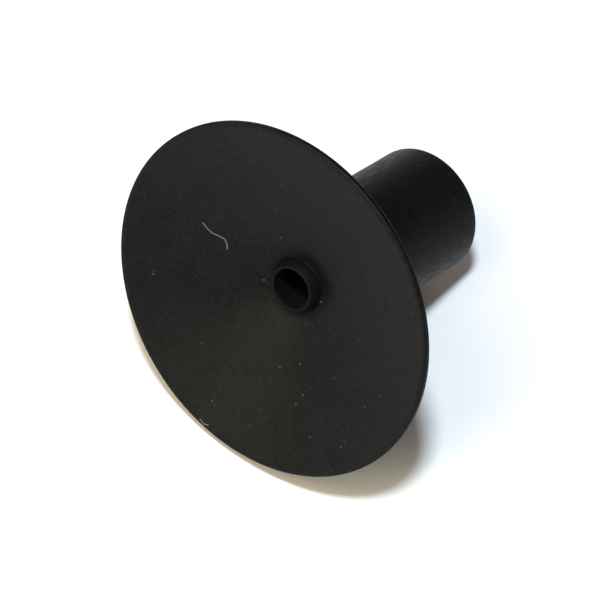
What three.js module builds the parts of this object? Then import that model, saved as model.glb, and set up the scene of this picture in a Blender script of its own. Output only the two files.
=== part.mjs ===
// A small rubber plunger head: a shallow suction cup on a round neck that grips the end of a handle.
// The axis is Z. The origin is the centre of the neck's rear face, and the cup opens towards +Z.
// Sizes are in millimetres, and every sub-part is turned about Z.
import * as THREE from "three";

// Overall
const OVERALL_HEIGHT = 21.5; // neck's rear face to the plane of the rim
const CUP_DIAMETER = 30;
const NECK_DIAMETER = 10.8;

// Cup
const CUP_DEPTH = 3.9; // plane of the rim down to the floor at the centre
const FLOOR_DIAMETER = 5.6; // flat floor round the vent hole
const WALL_AT_NECK = 1.5; // thickness of the wall where it leaves the neck
const WALL_AT_RIM = 0.5;
const LIP_WIDTH = 2.4; // outer band that meets the surface
const LAND_WIDTH = 0.4; // flat of the rim
const HUB_HEIGHT = 2.5; // thick centre, below the floor

// Neck
const FLEX_LENGTH = 4.2; // front stretch of the neck, which bends
const SOCKET_END_WALL = 1.8; // rubber between the bush's socket and the front stretch

// Bush for the handle's end
const BUSH_BORE = 6.4;
const BUSH_WALL = 0.8;
const BUSH_END_ROOM = 0.8; // left free between the bush and the socket's end
const BUSH_LEAD_IN = 0.4; // chamfer at the mouth of the bore

// Vent tube
const VENT_DIAMETER = 3.4;
const TUBE_WALL = 0.6;
const TUBE_TIP_WALL = 0.25; // the wall tapers to this at the front end
const TUBE_STAND = 0.9; // how far the front end stands above the floor

// Clearances
const ZONE_GAP = 0.3; // between stretches of rubber that move on their own
const SEAT_GAP = 0.05; // between rubber and a piece moulded or pressed into it

const SEGMENTS = 64;

const RUBBER = { color: 0x1f1f1e, roughness: 0.78, metalness: 0 };
const HARD_RUBBER = { color: 0x232322, roughness: 0.62, metalness: 0 };
const BUSH_PLASTIC = { color: 0x2b2b2a, roughness: 0.5, metalness: 0 };

const cupRadius = CUP_DIAMETER / 2;
const neckRadius = NECK_DIAMETER / 2;
const ventRadius = VENT_DIAMETER / 2;
const tubeRadius = ventRadius + TUBE_WALL;
const bushRadius = BUSH_BORE / 2 + BUSH_WALL;
const lipInnerRadius = cupRadius - LIP_WIDTH;

const floorHeight = OVERALL_HEIGHT - CUP_DEPTH;
const hubBack = floorHeight - HUB_HEIGHT;
const flexFront = hubBack - ZONE_GAP;
const flexBack = flexFront - FLEX_LENGTH;
const sleeveFront = flexBack - ZONE_GAP;
const socketDepth = sleeveFront - SOCKET_END_WALL;
const bushLength = socketDepth - BUSH_END_ROOM;

// Height of the cup's concave face at a radius: a flat floor, a straight cone, and the flat of the rim.
function faceHeight(radius) {
  const floorRadius = FLOOR_DIAMETER / 2;
  const landRadius = cupRadius - LAND_WIDTH;
  const share = (radius - floorRadius) / (landRadius - floorRadius);
  return floorHeight + CUP_DEPTH * THREE.MathUtils.clamp(share, 0, 1);
}

// Height of the cup's back at a radius: the wall thins evenly from the neck to the rim.
function backHeight(radius) {
  const share = (radius - neckRadius) / (cupRadius - neckRadius);
  return faceHeight(radius) - THREE.MathUtils.lerp(WALL_AT_NECK, WALL_AT_RIM, share);
}

// A ring turned about Z from its section: [radius, height] corners, in order, closed on themselves.
function turned(name, finish, corners) {
  const section = [...corners, corners[0]].map(([radius, height]) => new THREE.Vector2(radius, height));
  const geometry = new THREE.LatheGeometry(section, SEGMENTS).rotateX(Math.PI / 2);
  const mesh = new THREE.Mesh(geometry, new THREE.MeshStandardMaterial(finish));
  mesh.name = name;
  return mesh;
}

// The rear of the neck: a socket for the bush, and the vent hole through the socket's end.
function neckSleeve() {
  const socketRadius = bushRadius + SEAT_GAP;
  return turned("neck_sleeve", RUBBER, [
    [socketRadius, 0],
    [neckRadius, 0],
    [neckRadius, sleeveFront],
    [ventRadius, sleeveFront],
    [ventRadius, socketDepth],
    [socketRadius, socketDepth],
  ]);
}

// The front of the neck, which bends: a plain thick tube.
function neckFlex() {
  return turned("neck_flex", RUBBER, [
    [ventRadius, flexBack],
    [neckRadius, flexBack],
    [neckRadius, flexFront],
    [ventRadius, flexFront],
  ]);
}

// The thick centre of the cup, as wide as the neck, with a seat for the vent tube.
function cupHub() {
  const seatRadius = tubeRadius + SEAT_GAP;
  return turned("cup_hub", RUBBER, [
    [seatRadius, hubBack],
    [neckRadius, hubBack],
    [neckRadius, faceHeight(neckRadius)],
    [FLOOR_DIAMETER / 2, floorHeight],
    [seatRadius, floorHeight],
  ]);
}

// One ring of the cup's tapering wall, from an inner to an outer radius.
function wallRing(name, innerRadius, outerRadius) {
  return turned(name, RUBBER, [
    [innerRadius, backHeight(innerRadius)],
    [outerRadius, backHeight(outerRadius)],
    [outerRadius, faceHeight(outerRadius)],
    [innerRadius, faceHeight(innerRadius)],
  ]);
}

// The thin outer band, with the narrow flat that meets the surface.
function sealingLip() {
  return turned("sealing_lip", RUBBER, [
    [lipInnerRadius, backHeight(lipInnerRadius)],
    [cupRadius, backHeight(cupRadius)],
    [cupRadius, OVERALL_HEIGHT],
    [cupRadius - LAND_WIDTH, OVERALL_HEIGHT],
    [lipInnerRadius, faceHeight(lipInnerRadius)],
  ]);
}

// The lining of the vent hole: a short tube whose front end stands above the floor and tapers.
function ventTube() {
  return turned("vent_tube", HARD_RUBBER, [
    [ventRadius, hubBack],
    [tubeRadius, hubBack],
    [tubeRadius, floorHeight],
    [ventRadius + TUBE_TIP_WALL, floorHeight + TUBE_STAND],
    [ventRadius, floorHeight + TUBE_STAND],
  ]);
}

// The rigid bush that the handle's end goes into, flush with the neck's rear face.
function handleBush() {
  const boreRadius = BUSH_BORE / 2;
  return turned("handle_bush", BUSH_PLASTIC, [
    [boreRadius + BUSH_LEAD_IN, 0],
    [bushRadius, 0],
    [bushRadius, bushLength],
    [boreRadius, bushLength],
    [boreRadius, BUSH_LEAD_IN],
  ]);
}

// The wall between the neck and the lip is two equal rings, each clear of its neighbours.
const webInnerEdge = neckRadius + ZONE_GAP;
const webOuterEdge = lipInnerRadius - ZONE_GAP;
const webMiddle = (webInnerEdge + webOuterEdge) / 2;

const plungerHead = new THREE.Group();
plungerHead.add(neckSleeve());
plungerHead.add(neckFlex());
plungerHead.add(cupHub());
plungerHead.add(wallRing("web_inner", webInnerEdge, webMiddle - ZONE_GAP / 2));
plungerHead.add(wallRing("web_outer", webMiddle + ZONE_GAP / 2, webOuterEdge));
plungerHead.add(sealingLip());
plungerHead.add(ventTube());
plungerHead.add(handleBush());

export default plungerHead;
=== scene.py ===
import math
import bmesh
import bpy
from mathutils import Matrix, Vector


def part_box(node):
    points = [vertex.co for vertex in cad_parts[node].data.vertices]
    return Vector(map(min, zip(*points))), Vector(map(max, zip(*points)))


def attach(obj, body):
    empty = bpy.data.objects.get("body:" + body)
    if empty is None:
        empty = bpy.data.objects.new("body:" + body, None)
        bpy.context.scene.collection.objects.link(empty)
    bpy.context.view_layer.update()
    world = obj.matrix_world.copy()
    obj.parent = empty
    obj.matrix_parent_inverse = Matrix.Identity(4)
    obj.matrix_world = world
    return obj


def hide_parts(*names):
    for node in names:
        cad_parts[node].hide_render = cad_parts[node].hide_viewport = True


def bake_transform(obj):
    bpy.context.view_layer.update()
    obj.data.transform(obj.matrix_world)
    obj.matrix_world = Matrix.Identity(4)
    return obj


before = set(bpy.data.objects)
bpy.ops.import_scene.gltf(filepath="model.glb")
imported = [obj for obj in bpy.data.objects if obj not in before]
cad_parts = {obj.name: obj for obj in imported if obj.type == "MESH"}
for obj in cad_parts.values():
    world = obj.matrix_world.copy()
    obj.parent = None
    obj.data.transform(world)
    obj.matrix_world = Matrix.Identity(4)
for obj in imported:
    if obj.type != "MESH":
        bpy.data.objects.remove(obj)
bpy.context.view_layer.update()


# ---- Cup -----------------------------------------------------------------------------------------
# The suction cup is the front of the one soft rubber moulding: a thick hub as wide as the neck, and
# a shallow cone whose wall thins towards the rim. Its face is matt, as the mould was blasted there,
# and has picked up dust. The rim's narrow flat meets the surface, and the wall gives when pressed.
MM = 0.001
AROUND = 256  # steps round a turned piece
LONGEST_STEP = 0.5 * MM  # along its outline, so that it bends smoothly
BEVEL_STEPS = 5
SHARP = math.radians(32)  # edges above this angle stay crisp
ON_RING = 0.004 * MM  # how near a point lies to the ring it belongs to
ON_MERIDIAN = 0.001 * MM
SAME_LENGTH = 0.01 * MM
MERGED_WITHIN = 0.0005 * MM

_, lip_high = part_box("sealing_lip")
hub_low, hub_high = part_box("cup_hub")
_, tube_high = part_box("vent_tube")
cup_radius, rim_height = lip_high.x, lip_high.z
neck_radius, hub_back = hub_high.x, hub_low.z
tube_radius, tube_front = tube_high.x, tube_high.z

CUP_DEPTH = 3.9 * MM
FLOOR_RADIUS = 2.8 * MM
LAND_WIDTH = 0.4 * MM  # the rim's narrow flat
WALL_AT_RIM = 0.5 * MM
WALL_AT_NECK = 1.5 * MM
SEAT_GAP = 0.05 * MM
FLOOR_RISE = 0.08 * MM  # the floor curves up to the vent tube
COLLAR_GAP = 0.005 * MM
BACK_FILLET = 0.7 * MM  # where the cup's back leaves the neck
RIM_ROUNDING = 0.12 * MM
LAND_ROUNDING = 0.1 * MM
FLOOR_FILLET = 0.15 * MM
COLLAR_FILLET = 0.05 * MM
floor_height = rim_height - CUP_DEPTH
cone_slope = CUP_DEPTH / (cup_radius - LAND_WIDTH - FLOOR_RADIUS)
wall_front_at_neck = floor_height + cone_slope * (neck_radius - FLOOR_RADIUS)


def near_ring(vertex, radius, height):
    place = Vector((math.hypot(vertex.co.x, vertex.co.y), vertex.co.z))
    return (place - Vector((radius, height))).length < ON_RING


def select_rings(*places):
    """Selects the rings of a turned piece, in edit mode, at these (radius, height) places."""
    bpy.ops.mesh.select_mode(type="VERT")
    bpy.ops.mesh.select_all(action="DESELECT")
    skin = bmesh.from_edit_mesh(bpy.context.object.data)
    for vertex in skin.verts:
        if any(near_ring(vertex, *place) for place in places):
            vertex.select = True
    skin.select_flush(True)
    bmesh.update_edit_mesh(bpy.context.object.data)


def long_bands(piece):
    """Pairs of joined rings that lie further apart than the longest step, with their distance."""
    skin = bmesh.from_edit_mesh(piece.data)
    bands = []
    for edge in skin.edges:
        on_meridian = all(abs(v.co.y) < ON_MERIDIAN and v.co.x > 0 for v in edge.verts)
        if on_meridian and edge.calc_length() > LONGEST_STEP:
            bands.append(([(v.co.x, v.co.z) for v in edge.verts], edge.calc_length()))
    return bands


def turned(name, corners):
    """A closed ring turned about Z. Its corners are (radius, height, rounding), anticlockwise."""
    bpy.ops.object.select_all(action="DESELECT")
    first_radius, first_height, _ = corners[0]
    bpy.ops.mesh.primitive_circle_add(
        vertices=AROUND, radius=first_radius, location=(0, 0, first_height))
    piece = bpy.context.object
    piece.name = name
    bpy.ops.object.transform_apply(location=True, rotation=True, scale=True)
    bpy.ops.object.mode_set(mode="EDIT")
    bpy.ops.mesh.select_mode(type="VERT")
    bpy.ops.mesh.select_all(action="SELECT")
    for (radius, height, _), (next_radius, next_height, _) in zip(corners, corners[1:]):
        rise = (0, 0, next_height - height)
        bpy.ops.mesh.extrude_region_move(TRANSFORM_OT_translate={"value": rise})
        growth = next_radius / radius
        bpy.ops.transform.resize(value=(growth, growth, 1), center_override=(0, 0, next_height))
    select_rings(corners[0][:2], corners[-1][:2])
    bpy.ops.mesh.bridge_edge_loops()
    for radius, height, rounding in corners:
        if rounding:
            select_rings((radius, height))
            bpy.ops.mesh.bevel(
                offset=rounding, segments=BEVEL_STEPS, affect="EDGES", clamp_overlap=False)
    for ends, length in long_bands(piece):
        select_rings(*ends)
        bpy.ops.mesh.select_mode(type="EDGE")
        skin = bmesh.from_edit_mesh(piece.data)
        for edge in skin.edges:
            if edge.select and abs(edge.calc_length() - length) > SAME_LENGTH:
                edge.select_set(False)
        bmesh.update_edit_mesh(piece.data)
        bpy.ops.mesh.subdivide(number_cuts=math.ceil(length / LONGEST_STEP) - 1)
    bpy.ops.mesh.select_all(action="SELECT")
    bpy.ops.mesh.remove_doubles(threshold=MERGED_WITHIN)
    bpy.ops.mesh.normals_make_consistent(inside=False)
    bpy.ops.object.mode_set(mode="OBJECT")
    bpy.ops.object.shade_smooth_by_angle(angle=SHARP)
    places = piece.data.attributes.new("skin_place", "FLOAT_VECTOR", "POINT")
    for vertex, place in zip(piece.data.vertices, places.data):
        place.vector = vertex.co / MM
    return piece


cup = turned("cup_moulding", [
    (tube_radius + SEAT_GAP, hub_back, 0),
    (neck_radius, hub_back, 0),
    (neck_radius, wall_front_at_neck - WALL_AT_NECK, BACK_FILLET),
    (cup_radius, rim_height - WALL_AT_RIM, RIM_ROUNDING),
    (cup_radius, rim_height, RIM_ROUNDING),
    (cup_radius - LAND_WIDTH, rim_height, LAND_ROUNDING),
    (FLOOR_RADIUS, floor_height, FLOOR_FILLET),
    (tube_radius + FLOOR_RISE, floor_height, COLLAR_FILLET),
    (tube_radius + COLLAR_GAP, floor_height + FLOOR_RISE, 0),
])


class Wire:
    """A socket of a material, so that masks and heights are written as sums and products."""

    def __init__(self, tree, socket=None):
        self.tree = tree
        self.socket = socket

    def node(self, kind, settings, inputs, output=0):
        """Another node's output. Its settings are set first, then its inputs, by name or place."""
        made = self.tree.nodes.new(kind)
        for name, value in settings.items():
            setattr(made, name, value)
        for name, value in inputs.items():
            if isinstance(value, Wire):
                self.tree.links.new(value.socket, made.inputs[name])
            else:
                made.inputs[name].default_value = value
        return Wire(self.tree, made.outputs[output])

    def maths(self, operation, *values):
        return self.node("ShaderNodeMath", {"operation": operation}, dict(enumerate(values)))

    def vector(self, operation, *values, output=0):
        settings = {"operation": operation}
        return self.node("ShaderNodeVectorMath", settings, dict(enumerate(values)), output)

    def __add__(self, other):
        return self.maths("ADD", self, other)

    def __sub__(self, other):
        return self.maths("SUBTRACT", self, other)

    def __rsub__(self, other):
        return self.maths("SUBTRACT", other, self)

    def __mul__(self, other):
        return self.maths("MULTIPLY", self, other)

    __radd__ = __add__
    __rmul__ = __mul__

    def joined(self, other):
        """The larger of two masks."""
        return self.maths("MAXIMUM", self, other)

    def between(self, low, high, start=0.0, end=1.0):
        """0 to 1, smoothly, as this value goes from low to high, or start to end instead."""
        return self.node("ShaderNodeMapRange", {"interpolation_type": "SMOOTHSTEP"}, {
            "Value": self, "From Min": low, "From Max": high, "To Min": start, "To Max": end})

    def clouds(self, scale, detail=2.0, roughness=0.5):
        """Soft noise with this many lumps to a millimetre, about 0.5 on average."""
        return self.node("ShaderNodeTexNoise", {}, {
            "Vector": self, "Scale": scale, "Detail": detail, "Roughness": roughness})

    def stretched(self, *shares):
        """This place with each axis scaled, so that a pattern on it is drawn out along Z."""
        return self.vector("MULTIPLY", self, shares)

    def colour_between(self, share, first, last):
        """The first colour going over to the last by share, which is a mask."""
        inputs = {"Factor": share, 6: first, 7: last}
        return self.node("ShaderNodeMix", {"data_type": "RGBA"}, inputs, 2)

    def colour_mix(self, share, other):
        """This colour going over to the other by share."""
        return self.colour_between(share, self, other)

    def specks(self, scale, share, radius):
        """Masks round specks: this many chances to a millimetre, of which a share is taken."""
        SMALLEST, SOFTNESS = 0.45, 0.4  # shares of a full speck's radius
        inputs = {"Vector": self, "Scale": scale}
        spread = self.node("ShaderNodeTexVoronoi", {"feature": "F1"}, inputs, "Distance")
        draw = self.node("ShaderNodeTexVoronoi", {"feature": "F1"}, inputs, "Color")
        pick = draw.node("ShaderNodeSeparateColor", {}, {"Color": draw}, "Red")
        size = draw.node("ShaderNodeSeparateColor", {}, {"Color": draw}, "Green")
        grown = size.between(0, 1, SMALLEST * radius * scale, radius * scale)
        inside = (spread - grown).between(0, SOFTNESS * radius * scale, 1, 0)
        return inside * pick.maths("LESS_THAN", pick, share)

    def from_line(self, start, end):
        """Distance in millimetres to the straight line between two points."""
        along = Vector(end) - Vector(start)
        out = self.vector("SUBTRACT", self, start)
        reach = out.vector("DOT_PRODUCT", out, along, output="Value") * (1 / along.length_squared)
        held = reach.node("ShaderNodeClamp", {}, {"Value": reach})
        foot = self.node("ShaderNodeVectorMath", {"operation": "SCALE"}, {0: along, "Scale": held})
        return out.vector("DISTANCE", out, foot, output="Value")


def rubber_material(name):
    """A new material, its shader, and the skin's own unbent place on it, in millimetres."""
    material = bpy.data.materials.new(name)
    material.use_nodes = True
    tree = material.node_tree
    place = Wire(tree).node(
        "ShaderNodeAttribute", {"attribute_name": "skin_place"}, {}, "Vector")
    return material, tree.nodes["Principled BSDF"], place


def finish_with(shader, colour, roughness, height, bump_depth):
    links = shader.id_data.links
    links.new(colour.socket, shader.inputs["Base Color"])
    links.new(roughness.socket, shader.inputs["Roughness"])
    bump = height.node("ShaderNodeBump", {}, {"Height": height, "Distance": bump_depth})
    links.new(bump.socket, shader.inputs["Normal"])


CUP_BLACK = (0.0009, 0.0012, 0.00135, 1)
CUP_GREY = (0.0056, 0.0065, 0.0069, 1)
SIDE_BLACK = (0.0014, 0.0015, 0.0015, 1)
SIDE_GREY = (0.0034, 0.0034, 0.0035, 1)
SCUFF = (0.03, 0.031, 0.032, 1)
DUST = (0.062, 0.062, 0.056, 1)
LINT = (0.14, 0.175, 0.18, 1)

# Places on the face, in millimetres: a lint fibre, a curl of it at the rim, and larger specks.
LINT_FIBRE = [
    (1.18, 8.78, 19.6), (0.86, 8.36, 19.45), (0.62, 7.89, 19.29), (0.63, 7.3, 19.1),
    (0.57, 6.82, 18.94), (0.22, 6.53, 18.84), (-0.24, 6.41, 18.79)]
EDGE_CURL = [(-14.39, 2.45, 21.5), (-14.57, 1.96, 21.5), (-14.42, 1.59, 21.47)]
BIG_SPECKS = [
    (3.31, 2.52, 18.05), (-0.02, -2.45, 17.6), (-5.33, 11.12, 20.75), (-1.49, 2.9, 17.75),
    (-5.56, -3.11, 18.78), (-6.87, -1.63, 19.01), (-12.55, 2.25, 20.89), (-8.19, -9.98, 20.94),
    (-7.36, -4.65, 19.55), (-8.36, -4.46, 19.8)]
SPECK_CORE, SPECK_EDGE = 0.02, 0.15
FIBRE_CORE, FIBRE_EDGE = 0.01, 0.075

# Lumps to a millimetre, detail and roughness of each of the rubber's patterns.
WIDE_CLOUD = (0.35, 3.0, 0.6)
FACE_GRAIN = (7.0, 3.0, 0.6)
FACE_MOTTLE = (3.2, 1.0, 0.5)
SIDE_CLOUD = (0.5, 3.0, 0.6)
SIDE_BLOTCH = (2.4, 3.0, 0.6)
SIDE_GRAIN = (9.0, 2.0, 0.6)
SCUFF_PATCH = (2.4, 4.0, 0.7)

SPECULAR = 0.06
SHEEN, SHEEN_ROUGHNESS = 0.117, 0.48  # of the face only
FACE_ROUGHNESS = (0.44, 0.52)
SIDE_ROUGHNESS = (0.36, 0.5)
RUBBER_BUMP = 0.03 * MM
# Where the painted shade round the vent tube's foot fades out, in millimetres from the axis.
PAINTED_SHADE_START, PAINTED_SHADE_END = tube_radius / MM + 0.1, tube_radius / MM + 0.9
FACE_DEPTH, SIDE_DEPTH = 0.2, 0.45  # below the face, where the one finish goes over to the other

rubber, rubber_shader, skin = rubber_material("moulded_rubber")
rubber_shader.inputs["Specular IOR Level"].default_value = SPECULAR
rubber_shader.inputs["Coat Roughness"].default_value = SHEEN_ROUGHNESS
flat_place = skin.stretched(1, 1, 0)
radius = flat_place.vector("LENGTH", flat_place, output="Value")
height = skin.node("ShaderNodeSeparateXYZ", {}, {"Vector": skin}, "Z")
below_face = radius * cone_slope - height + (floor_height - cone_slope * FLOOR_RADIUS) / MM
side = below_face.between(FACE_DEPTH, SIDE_DEPTH)

# The face: grain, mottling and wide clouds, and painted shade round the foot of the vent tube.
wide_cloud = skin.clouds(*WIDE_CLOUD)
face_grain = skin.clouds(*FACE_GRAIN)
face_mottle = skin.clouds(*FACE_MOTTLE)
# Painted shade: near the vent tube's foot the face's tone and its coat fall to a tenth, so the
# floor round the tube is darker.
clear_of_painted_shade = radius.between(PAINTED_SHADE_START, PAINTED_SHADE_END, 0.1, 1)
face_tone = face_grain.between(0.3, 0.7) * 0.3 + face_mottle.between(0.25, 0.75) * 0.35
face_tone = (face_tone + wide_cloud.between(0.35, 0.65) * 0.35) * clear_of_painted_shade
face_colour = skin.colour_between(face_tone, CUP_BLACK, CUP_GREY)
face_roughness = wide_cloud.between(0.3, 0.7, *FACE_ROUGHNESS)
face_sheen = side.between(0, 1, SHEEN, 0) * face_mottle.between(0.2, 0.8, 0.8, 1.2) * clear_of_painted_shade

# The back and the neck's side: smoother and blacker, with faint blotches and scuffs along Z.
side_cloud = skin.clouds(*SIDE_CLOUD)
side_blotch = skin.stretched(1, 1, 0.35).clouds(*SIDE_BLOTCH)
side_tone = side_blotch.between(0.35, 0.7) * 0.6 + side_cloud.between(0.4, 0.7) * 0.4
scuffs = skin.stretched(1, 1, 0.5).clouds(*SCUFF_PATCH).between(0.6, 0.74)
scuffs = scuffs * side_cloud.between(0.45, 0.6)
side_colour = skin.colour_between(side_tone, SIDE_BLACK, SIDE_GREY)
side_colour = side_colour.colour_mix(scuffs * 0.4, SCUFF)
side_roughness = side_blotch.between(0.3, 0.7, *SIDE_ROUGHNESS)
side_height = side_blotch * 1.2 + skin.clouds(*SIDE_GRAIN) * 0.4

# Dust and lint lie on all of it.
dust = skin.specks(scale=2.6, share=0.05, radius=0.075)
dust = dust * skin.clouds(1.6).between(0.4, 0.62, 0.15, 0.7)
for spot in BIG_SPECKS:
    reach = skin.vector("DISTANCE", skin, spot, output="Value")
    dust = dust.joined(reach.between(SPECK_CORE, SPECK_EDGE, 1, 0))
strands = [*zip(LINT_FIBRE, LINT_FIBRE[1:]), *zip(EDGE_CURL, EDGE_CURL[1:])]
lint = skin.from_line(*strands[0]).between(FIBRE_CORE, FIBRE_EDGE, 1, 0)
for strand in strands[1:]:
    lint = lint.joined(skin.from_line(*strand).between(FIBRE_CORE, FIBRE_EDGE, 1, 0))

rubber_colour = face_colour.colour_mix(side, side_colour)
rubber_colour = rubber_colour.colour_mix(dust * 0.8, DUST).colour_mix(lint * 0.9, LINT)
rubber_roughness = face_roughness + side * (side_roughness - face_roughness)
rubber_height = face_grain + side * (side_height - face_grain) + dust * 1.5
finish_with(rubber_shader, rubber_colour, rubber_roughness, rubber_height, RUBBER_BUMP)
rubber_shader.id_data.links.new(face_sheen.socket, rubber_shader.inputs["Coat Weight"])
cup.data.materials.append(rubber)

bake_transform(cup)
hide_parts("cup_hub", "web_inner", "web_outer", "sealing_lip")


# ---- Neck ----------------------------------------------------------------------------------------
# The neck is the rear of the same moulding: a thick round tube, cut off square. Its rear end is a
# blind socket for the handle's bush, and the vent hole goes on from there to the cup. Its side was
# polished in the mould, so it is blacker and shinier than the face.
_, bush_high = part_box("handle_bush")
SOCKET_END_ROOM = 0.8 * MM  # between the bush and the socket's end
SOCKET_FILLET = 0.2 * MM
NECK_ROUNDING = 0.1 * MM
MOUTH_ROUNDING = 0.08 * MM
VENT_RADIUS = 1.7 * MM
socket_radius = bush_high.x + SEAT_GAP
socket_end = bush_high.z + SOCKET_END_ROOM

neck = turned("neck_moulding", [
    (socket_radius, 0, MOUTH_ROUNDING),
    (neck_radius, 0, NECK_ROUNDING),
    (neck_radius, hub_back, 0),
    (VENT_RADIUS, hub_back, 0),
    (VENT_RADIUS, socket_end, SOCKET_FILLET),
    (socket_radius, socket_end, SOCKET_FILLET),
])
neck.data.materials.append(rubber)
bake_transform(neck)
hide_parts("neck_sleeve", "neck_flex")


# ---- Vent tube -----------------------------------------------------------------------------------
# A short tube of harder rubber, moulded in, lines the vent hole through the hub. Its front end
# stands above the cup's floor as a low, tapered nipple with a thin edge.
TIP_WALL = 0.25 * MM
ROOT_FILLET = 0.1 * MM
TIP_ROUNDING = 0.12 * MM
VENT_ROUNDING = 0.08 * MM

tube = turned("vent_nipple", [
    (VENT_RADIUS, hub_back, 0),
    (tube_radius, hub_back, 0),
    (tube_radius, floor_height + FLOOR_RISE, ROOT_FILLET),
    (VENT_RADIUS + TIP_WALL, tube_front, TIP_ROUNDING),
    (VENT_RADIUS, tube_front, VENT_ROUNDING),
])

# The tube's near-black colour is painted shade, deep in the vent hole and at the nipple's foot.
TUBE_SHADE_BLACK = (0.0004, 0.0004, 0.0004, 1)
TUBE_SPECULAR = 0.125
TUBE_GRAIN = (7.0, 3.0, 0.6)
TUBE_BUMP = 0.01 * MM
ROOT_MATT, TIP_MATT = 0.95, 0.7  # roughness
TIP_START, TIP_END = 17.4, 18.4  # heights in millimetres between which it goes over to its tip
tube_rubber, tube_shader, tube_place = rubber_material("tube_rubber")
tube_shader.inputs["Specular IOR Level"].default_value = TUBE_SPECULAR
tube_grain = tube_place.clouds(*TUBE_GRAIN)
tube_height = tube_place.node("ShaderNodeSeparateXYZ", {}, {"Vector": tube_place}, "Z")
# Painted shade: the tube's colour is near black low down, inside the vent hole and at the nipple's
# foot, and goes over to the face's grey towards its tip.
tip = tube_height.between(TIP_START, TIP_END)
tube_grain_and_shade = tube_grain.between(0.3, 0.7, 0.05, 0.3) * tip
tube_colour = tube_place.colour_between(tube_grain_and_shade, TUBE_SHADE_BLACK, CUP_GREY)
tube_roughness = tip.between(0, 1, ROOT_MATT, TIP_MATT)
finish_with(tube_shader, tube_colour, tube_roughness, tube_grain, TUBE_BUMP)
tube.data.materials.append(tube_rubber)
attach(tube, "hub")
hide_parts("vent_tube")


# ---- Handle bush ---------------------------------------------------------------------------------
# A rigid plastic bush fills the neck's socket, flush with its end, and grips the handle's end. It
# is moulded with a chamfered mouth, so that the handle finds its way in.
BORE_RADIUS = 3.2 * MM
LEAD_IN = 0.4 * MM
BUSH_ROUNDING = 0.1 * MM
LEAD_ROUNDING = 0.05 * MM

bush = turned("handle_bush_liner", [
    (BORE_RADIUS + LEAD_IN, 0, LEAD_ROUNDING),
    (bush_high.x, 0, BUSH_ROUNDING),
    (bush_high.x, bush_high.z, BUSH_ROUNDING),
    (BORE_RADIUS, bush_high.z, BUSH_ROUNDING),
    (BORE_RADIUS, LEAD_IN, LEAD_ROUNDING),
])

BUSH_BLACK = (0.02, 0.02, 0.0195, 1)
BUSH_GREY = (0.028, 0.028, 0.0275, 1)
BUSH_GRAIN = (5.0, 3.0, 0.6)
BUSH_ROUGHNESS = (0.4, 0.52)
BUSH_BUMP = 0.008 * MM
bush_plastic, bush_shader, bush_place = rubber_material("bush_plastic")
bush_grain = bush_place.clouds(*BUSH_GRAIN)
bush_colour = bush_place.colour_between(bush_grain.between(0.3, 0.7), BUSH_BLACK, BUSH_GREY)
bush_roughness = bush_grain.between(0.3, 0.7, *BUSH_ROUGHNESS)
finish_with(bush_shader, bush_colour, bush_roughness, bush_grain, BUSH_BUMP)
bush.data.materials.append(bush_plastic)
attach(bush, "neck")
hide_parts("handle_bush")


# ---- Table ---------------------------------------------------------------------------------------
# The head lies on its side on a white table, on the neck's rear edge and the rim's back edge. Seen
# from below, the table lets the view through, and far out it fades into the white round it.
TABLE_GAP = 0.8 * MM  # room for the rim, as it is pressed back and the neck bends
TABLE_SIZE = 0.8
TABLE_WHITE = (0.86, 0.86, 0.86, 1)
TABLE_ROUGHNESS, TABLE_SPECULAR = 0.8, 0.2
FADE_START, FADE_END = 0.09, 0.16
neck_touch = Vector((-neck_radius, 0, 0))
rim_touch = Vector((-cup_radius, 0, rim_height - WALL_AT_RIM))
lying = (rim_touch - neck_touch).normalized()
table_up = Vector((0, 1, 0)).cross(lying)
table_centre = (neck_touch + rim_touch) / 2 - table_up * TABLE_GAP
table_turn = table_up.to_track_quat("Z", "Y").to_euler()
bpy.ops.object.select_all(action="DESELECT")
bpy.ops.mesh.primitive_plane_add(size=TABLE_SIZE, location=table_centre, rotation=table_turn)
table = bpy.context.object
table.name = "table"

white = bpy.data.materials.new("white_table")
white.use_nodes = True
white_links = white.node_tree.links
white_shader = white.node_tree.nodes["Principled BSDF"]
white_shader.inputs["Base Color"].default_value = TABLE_WHITE
white_shader.inputs["Roughness"].default_value = TABLE_ROUGHNESS
white_shader.inputs["Specular IOR Level"].default_value = TABLE_SPECULAR
table_place = Wire(white.node_tree).node("ShaderNodeTexCoord", {}, {}, "Object")
from_middle = table_place.vector("LENGTH", table_place, output="Value")
far_out = from_middle.between(FADE_START, FADE_END)
seen = table_place.node("ShaderNodeLightPath", {}, {}, "Is Camera Ray")
from_below = table_place.node("ShaderNodeNewGeometry", {}, {}, "Backfacing")
clear = from_below.joined(far_out * seen)
nothing = clear.node("ShaderNodeBsdfTransparent", {}, {})
shown = clear.node("ShaderNodeMixShader", {}, {0: clear, 2: nothing})
white_links.new(white_shader.outputs[0], shown.socket.node.inputs[1])
white_links.new(shown.socket, white.node_tree.nodes["Material Output"].inputs["Surface"])
table.data.materials.append(white)


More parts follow.
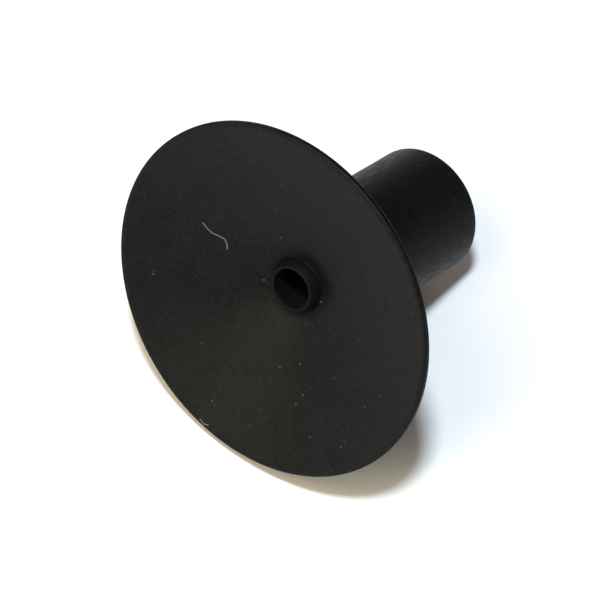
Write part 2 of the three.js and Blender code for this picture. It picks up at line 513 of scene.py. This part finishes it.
# ---- Camera --------------------------------------------------------------------------------------
# A long lens, close up, looks into the cup from its side and above, and is rolled as it was held.
LENS, SENSOR = 180, 36
NEAREST = 0.01
AZIMUTH, ELEVATION, ROLL = math.radians(59.82), math.radians(45.92), math.radians(-121.64)
STAND_OFF = 235.87 * MM
AIM_OFFSET = Vector((0.83, -1.78, -1.57)) * MM  # from the rim's centre
level_right = Vector((math.cos(AZIMUTH), math.sin(AZIMUTH), 0))
to_camera = Vector((
    math.sin(AZIMUTH) * math.cos(ELEVATION),
    -math.cos(AZIMUTH) * math.cos(ELEVATION),
    math.sin(ELEVATION)))
level_up = to_camera.cross(level_right)
view_right = level_right * math.cos(ROLL) + level_up * math.sin(ROLL)
view_up = to_camera.cross(view_right)
aim = Vector((0, 0, rim_height)) + AIM_OFFSET
bpy.ops.object.camera_add(location=aim + to_camera * STAND_OFF)
camera = bpy.context.object
camera.rotation_euler = Matrix((view_right, view_up, to_camera)).transposed().to_euler()
camera.data.lens = LENS
camera.data.sensor_width = SENSOR
camera.data.clip_start = NEAREST
bpy.context.scene.camera = camera


# ---- Light ---------------------------------------------------------------------------------------
# A small cool lamp hangs over the table, and two broad warmer ones stand to its left, high and low.
# The room round them is dim. The white that the view goes off into isn't part of that room.
def lamp(name, direction, distance, width, power, colour):
    """A round soft lamp that shines on the cup's middle from a direction."""
    middle = Vector((0, 0, floor_height))
    bpy.ops.object.light_add(type="AREA", location=middle + direction.normalized() * distance)
    made = bpy.context.object
    made.name = name
    made.rotation_euler = direction.to_track_quat("Z", "Y").to_euler()
    made.data.shape = "DISK"
    made.data.size = width
    made.data.energy = power
    made.data.color = colour


def from_the_left(rise, turn):
    """A direction that rises above the table, and is turned towards the near side of it."""
    level = -view_right * math.cos(turn) - table_up.cross(view_right) * math.sin(turn)
    return level * math.cos(rise) + table_up * math.sin(rise)


OVERHEAD = Vector((0.832, -0.096, 0.546))
HIGH_LEFT = from_the_left(math.radians(64), math.radians(35))
LOW_LEFT = from_the_left(math.radians(26), math.radians(31))
lamp("overhead_lamp", OVERHEAD, distance=0.7, width=0.09, power=5.1, colour=(0.78, 0.9, 1.0))
lamp("side_lamp", HIGH_LEFT, distance=0.7, width=0.3, power=1.55, colour=(1.0, 0.72, 0.42))
lamp("low_lamp", LOW_LEFT, distance=0.6, width=0.26, power=1.6, colour=(0.95, 0.95, 0.68))

ROOM = (0.245, 0.212, 0.195, 1)
VIEW_WHITE = (1.05, 1.05, 1.05, 1)
world = bpy.data.worlds.new("studio")
world.use_nodes = True
bpy.context.scene.world = world
sky = Wire(world.node_tree)
room = sky.node("ShaderNodeBackground", {}, {"Color": ROOM})
behind = sky.node("ShaderNodeBackground", {}, {"Color": VIEW_WHITE})
looked_at = sky.node("ShaderNodeLightPath", {}, {}, "Is Camera Ray")
both = sky.node("ShaderNodeMixShader", {}, {0: looked_at, 1: room, 2: behind})
world.node_tree.links.new(both.socket, world.node_tree.nodes["World Output"].inputs["Surface"])
bpy.context.scene.view_settings.view_transform = "Standard"
